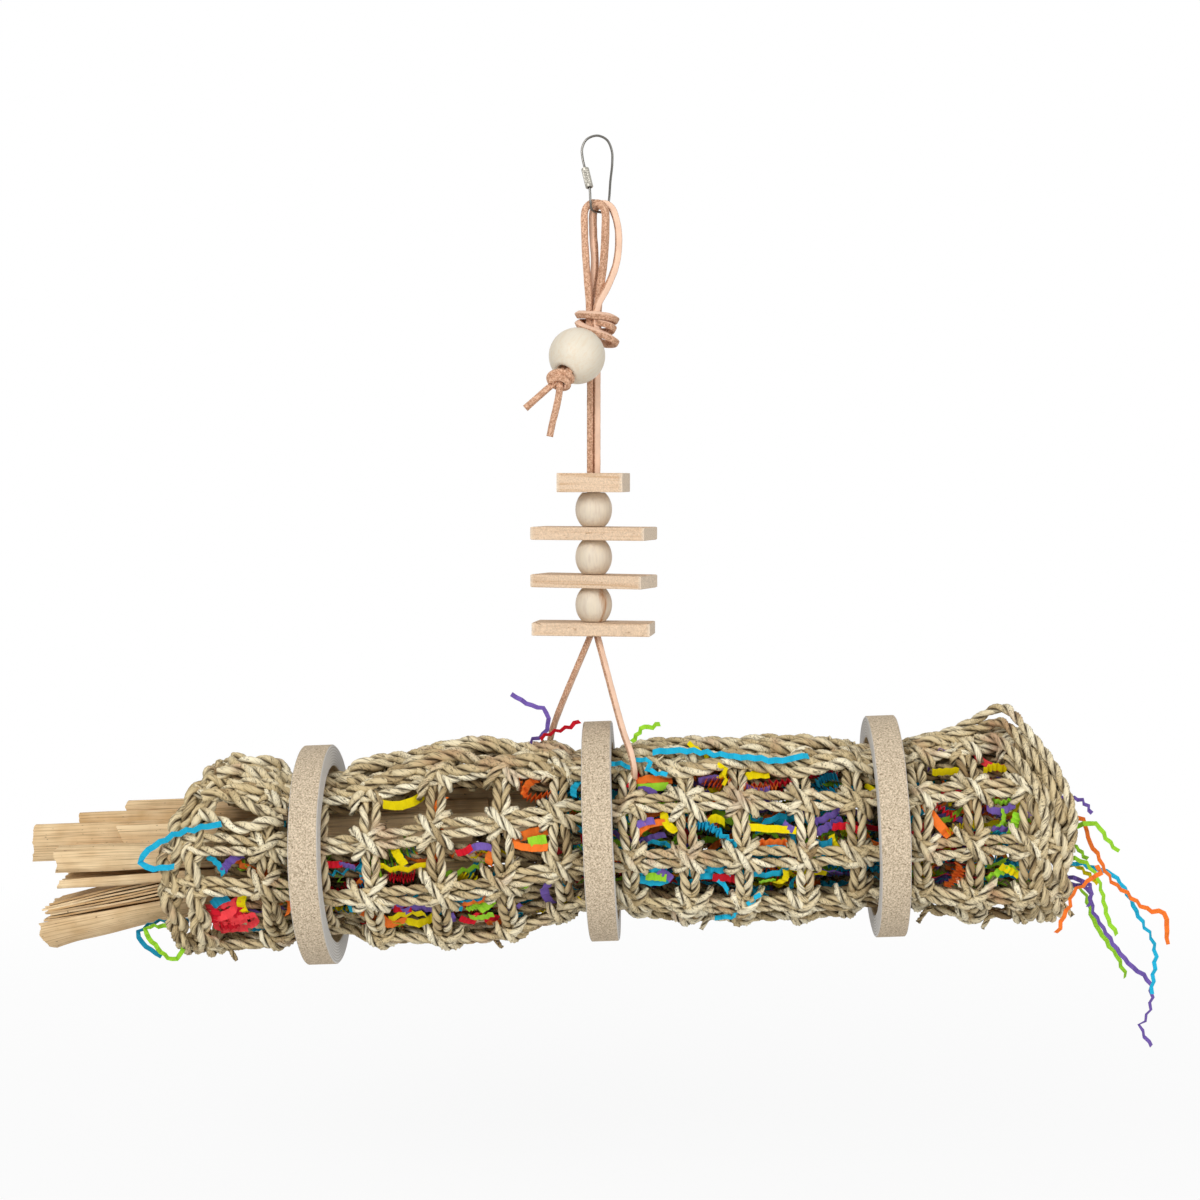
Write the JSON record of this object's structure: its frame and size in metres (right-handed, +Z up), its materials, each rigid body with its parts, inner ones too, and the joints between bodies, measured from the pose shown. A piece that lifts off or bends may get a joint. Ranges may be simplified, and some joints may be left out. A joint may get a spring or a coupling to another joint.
{
  "type": "hanging bird chew toy",
  "caption": "Hanging foraging toy for cage birds: a net tube of seagrass held by card rings, stuffed with husks and paper shreds, on a leather lace under wooden slats and beads.",
  "frame": {"origin": "inside top of the cable ring, where it hangs on a bar", "axes": "+Z up, +X to the right along the net tube as it hangs, -Y towards the viewer of the front"},
  "size_m": [0.6199, 0.1312, 0.4918],
  "materials": {
    "steel_cable": "stranded wire, slightly dull",
    "plated_barrel": "plated, fine knurl",
    "lace_leather": "undyed, smooth on one side and suede on the other",
    "pine": "rough-sawn, bare",
    "turned_wood": "turned smooth, bare",
    "seagrass": "twisted dry grass",
    "ring_card": "speckled grey-brown board, layered at its ends",
    "husk": "dry fibrous leaf sheet",
    "shred_paper": "crinkled shreds in several colours",
    "orange_paper": "crinkled",
    "lime_paper": "crinkled",
    "blue_paper": "crinkled",
    "purple_paper": "crinkled",
    "teal_paper": "crinkled"
  },
  "bodies": {
    "hanger_ring": {"cable_ring": "steel_cable"},
    "barrel": {"screw_barrel": "plated_barrel"},
    "hanging_loop": {"lace_bight_left": "lace_leather", "lace_bight_right": "lace_leather", "lace_wrap": "lace_leather"},
    "tail": {"lace_tail_left": "lace_leather", "lace_tail_right": "lace_leather", "stopper_knot": "lace_leather", "tail_end_left": "lace_leather", "tail_end_right": "lace_leather"},
    "large_bead": {"tail_bead": "turned_wood"},
    "twin_strand": {"lace_strand_left": "lace_leather", "lace_strand_right": "lace_leather"},
    "block": {"top_block": "pine"},
    "upper_bead": {"bead_upper": "turned_wood"},
    "upper_slat": {"slat_upper": "pine"},
    "middle_bead": {"bead_middle": "turned_wood"},
    "middle_slat": {"slat_middle": "pine"},
    "lower_bead": {"bead_lower": "turned_wood"},
    "lower_slat": {"slat_lower": "pine"},
    "tube": {"seagrass_net": "seagrass", "lace_sling": "lace_leather", "paper_fill": "shred_paper", "paper_bed": "shred_paper", "strip_blue_left": "blue_paper", "strip_teal_left": "teal_paper", "strip_purple_top": "purple_paper", "strip_blue_front": "blue_paper", "strip_orange_short": "orange_paper"},
    "left_ring": {"card_ring_left": "ring_card"},
    "middle_ring": {"card_ring_middle": "ring_card"},
    "right_ring": {"card_ring_right": "ring_card"},
    "upper_short_husk": {"husk_upper_short": "husk"},
    "upper_flat_husk": {"husk_upper_flat": "husk"},
    "back_narrow_husk": {"husk_back_narrow": "husk"},
    "back_wide_husk": {"husk_back_wide": "husk"},
    "folded_husk": {"husk_folded": "husk"},
    "rolled_husk": {"husk_roll": "husk"},
    "layered_husk": {"husk_layers": "husk"},
    "orange_strip": {"strip_orange_long": "orange_paper"},
    "green_strip": {"strip_green_short": "lime_paper"},
    "upper_lime_strip": {"strip_lime_upper": "lime_paper"},
    "blue_strip": {"strip_blue_long": "blue_paper"},
    "purple_strip": {"strip_purple_long": "purple_paper"},
    "lower_lime_strip": {"strip_lime_lower": "lime_paper"}
  },
  "joints": [
    {"name": "barrel_turn", "type": "hinge", "parent": "hanger_ring", "child": "barrel", "pos_m": [-0.00525, -0.0037, -0.0223], "axis": [-0.219, 0.298, 0.9291], "continuous": true},
    {"name": "loop_swing", "type": "hinge", "parent": "hanger_ring", "child": "hanging_loop", "pos_m": [0.0012, 0, -0.0399], "axis": [0.7216, 0.6923, 0], "range_deg": [-10, 10]},
    {"name": "tail_swing", "type": "hinge", "parent": "hanging_loop", "child": "tail", "pos_m": [-0.00336, -0.01192, -0.10763], "axis": [0, 1, 0], "range_deg": [-30, 15], "stiffness_Nm_per_rad": 0.02, "springref_deg": 2.46},
    {"name": "large_bead_turn", "type": "hinge", "parent": "tail", "child": "large_bead", "pos_m": [-0.0106, -0.021, -0.1182], "axis": [-0.4611, -0.5781, -0.6732], "continuous": true},
    {"name": "strand_twist", "type": "hinge", "parent": "hanging_loop", "child": "twin_strand", "pos_m": [-0.0018, 0, -0.1113], "axis": [0, 0, 1], "range_deg": [-60, 60], "stiffness_Nm_per_rad": 0.004},
    {"name": "block_turn", "type": "hinge", "parent": "twin_strand", "child": "block", "pos_m": [-0.0018, 0, -0.18535], "axis": [0, 0, 1], "continuous": true},
    {"name": "upper_bead_turn", "type": "hinge", "parent": "twin_strand", "child": "upper_bead", "pos_m": [-0.0018, 0, -0.19995], "axis": [0, 0, 1], "continuous": true},
    {"name": "upper_slat_turn", "type": "hinge", "parent": "twin_strand", "child": "upper_slat", "pos_m": [-0.0018, 0, -0.2129], "axis": [0, 0, 1], "continuous": true},
    {"name": "middle_bead_turn", "type": "hinge", "parent": "twin_strand", "child": "middle_bead", "pos_m": [-0.0018, 0, -0.22585], "axis": [0, 0, 1], "continuous": true},
    {"name": "middle_slat_turn", "type": "hinge", "parent": "twin_strand", "child": "middle_slat", "pos_m": [-0.0018, 0, -0.2388], "axis": [0, 0, 1], "continuous": true},
    {"name": "lower_bead_turn", "type": "hinge", "parent": "twin_strand", "child": "lower_bead", "pos_m": [-0.0018, 0, -0.25175], "axis": [0, 0, 1], "continuous": true},
    {"name": "lower_slat_turn", "type": "hinge", "parent": "twin_strand", "child": "lower_slat", "pos_m": [-0.0018, 0, -0.2647], "axis": [0, 0, 1], "continuous": true},
    {"name": "tube_tilt", "type": "hinge", "parent": "twin_strand", "child": "tube", "pos_m": [-0.0018, 0, -0.2682], "axis": [0, 1, 0], "range_deg": [-7, 7]},
    {"name": "left_ring_slide", "type": "slide", "parent": "tube", "child": "left_ring", "axis": [0.9985, -0.0349, 0.0419], "range_m": [-0.005, 0.005]},
    {"name": "middle_ring_slide", "type": "slide", "parent": "tube", "child": "middle_ring", "axis": [0.9985, -0.0349, 0.0419], "range_m": [-0.005, 0.003]},
    {"name": "right_ring_slide", "type": "slide", "parent": "tube", "child": "right_ring", "axis": [0.9985, -0.0349, 0.0419], "range_m": [-0.005, 0.005]},
    {"name": "upper_short_husk_pull", "type": "slide", "parent": "tube", "child": "upper_short_husk", "axis": [-0.9985, 0.0349, -0.0419], "range_m": [0, 0.22]},
    {"name": "upper_flat_husk_pull", "type": "slide", "parent": "tube", "child": "upper_flat_husk", "axis": [-0.9985, 0.0349, -0.0419], "range_m": [0, 0.22]},
    {"name": "back_narrow_husk_pull", "type": "slide", "parent": "tube", "child": "back_narrow_husk", "axis": [-0.9985, 0.0349, -0.0419], "range_m": [0, 0.22]},
    {"name": "back_wide_husk_pull", "type": "slide", "parent": "tube", "child": "back_wide_husk", "axis": [-0.9985, 0.0349, -0.0419], "range_m": [0, 0.22]},
    {"name": "folded_husk_pull", "type": "slide", "parent": "tube", "child": "folded_husk", "axis": [-0.9985, 0.0349, -0.0419], "range_m": [0, 0.22]},
    {"name": "rolled_husk_pull", "type": "slide", "parent": "tube", "child": "rolled_husk", "axis": [-0.9922, 0.0347, -0.1201], "range_m": [0, 0.11]},
    {"name": "layered_husk_pull", "type": "slide", "parent": "tube", "child": "layered_husk", "axis": [-0.9922, 0.0347, -0.1201], "range_m": [0, 0.11]},
    {"name": "orange_strip_swing", "type": "hinge", "parent": "tube", "child": "orange_strip", "pos_m": [0.23897, -0.04058, -0.36332], "axis": [0, 1, 0], "range_deg": [-8, 8], "stiffness_Nm_per_rad": 0.004, "springref_deg": -1},
    {"name": "green_strip_swing", "type": "hinge", "parent": "tube", "child": "green_strip", "pos_m": [0.23936, -0.04168, -0.37354], "axis": [0, 1, 0], "range_deg": [-8, 8], "stiffness_Nm_per_rad": 0.004, "springref_deg": -0.22},
    {"name": "upper_lime_strip_swing", "type": "hinge", "parent": "tube", "child": "upper_lime_strip", "pos_m": [0.23988, -0.03932, -0.38411], "axis": [0, 1, 0], "range_deg": [-8, 8], "stiffness_Nm_per_rad": 0.004, "springref_deg": -0.36},
    {"name": "blue_strip_swing", "type": "hinge", "parent": "tube", "child": "blue_strip", "pos_m": [0.2405, -0.0332, -0.39378], "axis": [0, 1, 0], "range_deg": [-8, 8], "stiffness_Nm_per_rad": 0.004, "springref_deg": -1.15},
    {"name": "purple_strip_swing", "type": "hinge", "parent": "tube", "child": "purple_strip", "pos_m": [0.2412, -0.02253, -0.40156], "axis": [0, 1, 0], "range_deg": [-8, 8], "stiffness_Nm_per_rad": 0.004, "springref_deg": -1.21},
    {"name": "lower_lime_strip_swing", "type": "hinge", "parent": "tube", "child": "lower_lime_strip", "pos_m": [0.24172, -0.01135, -0.40451], "axis": [0, 1, 0], "range_deg": [-8, 8], "stiffness_Nm_per_rad": 0.004, "springref_deg": -0.56}
  ]
}
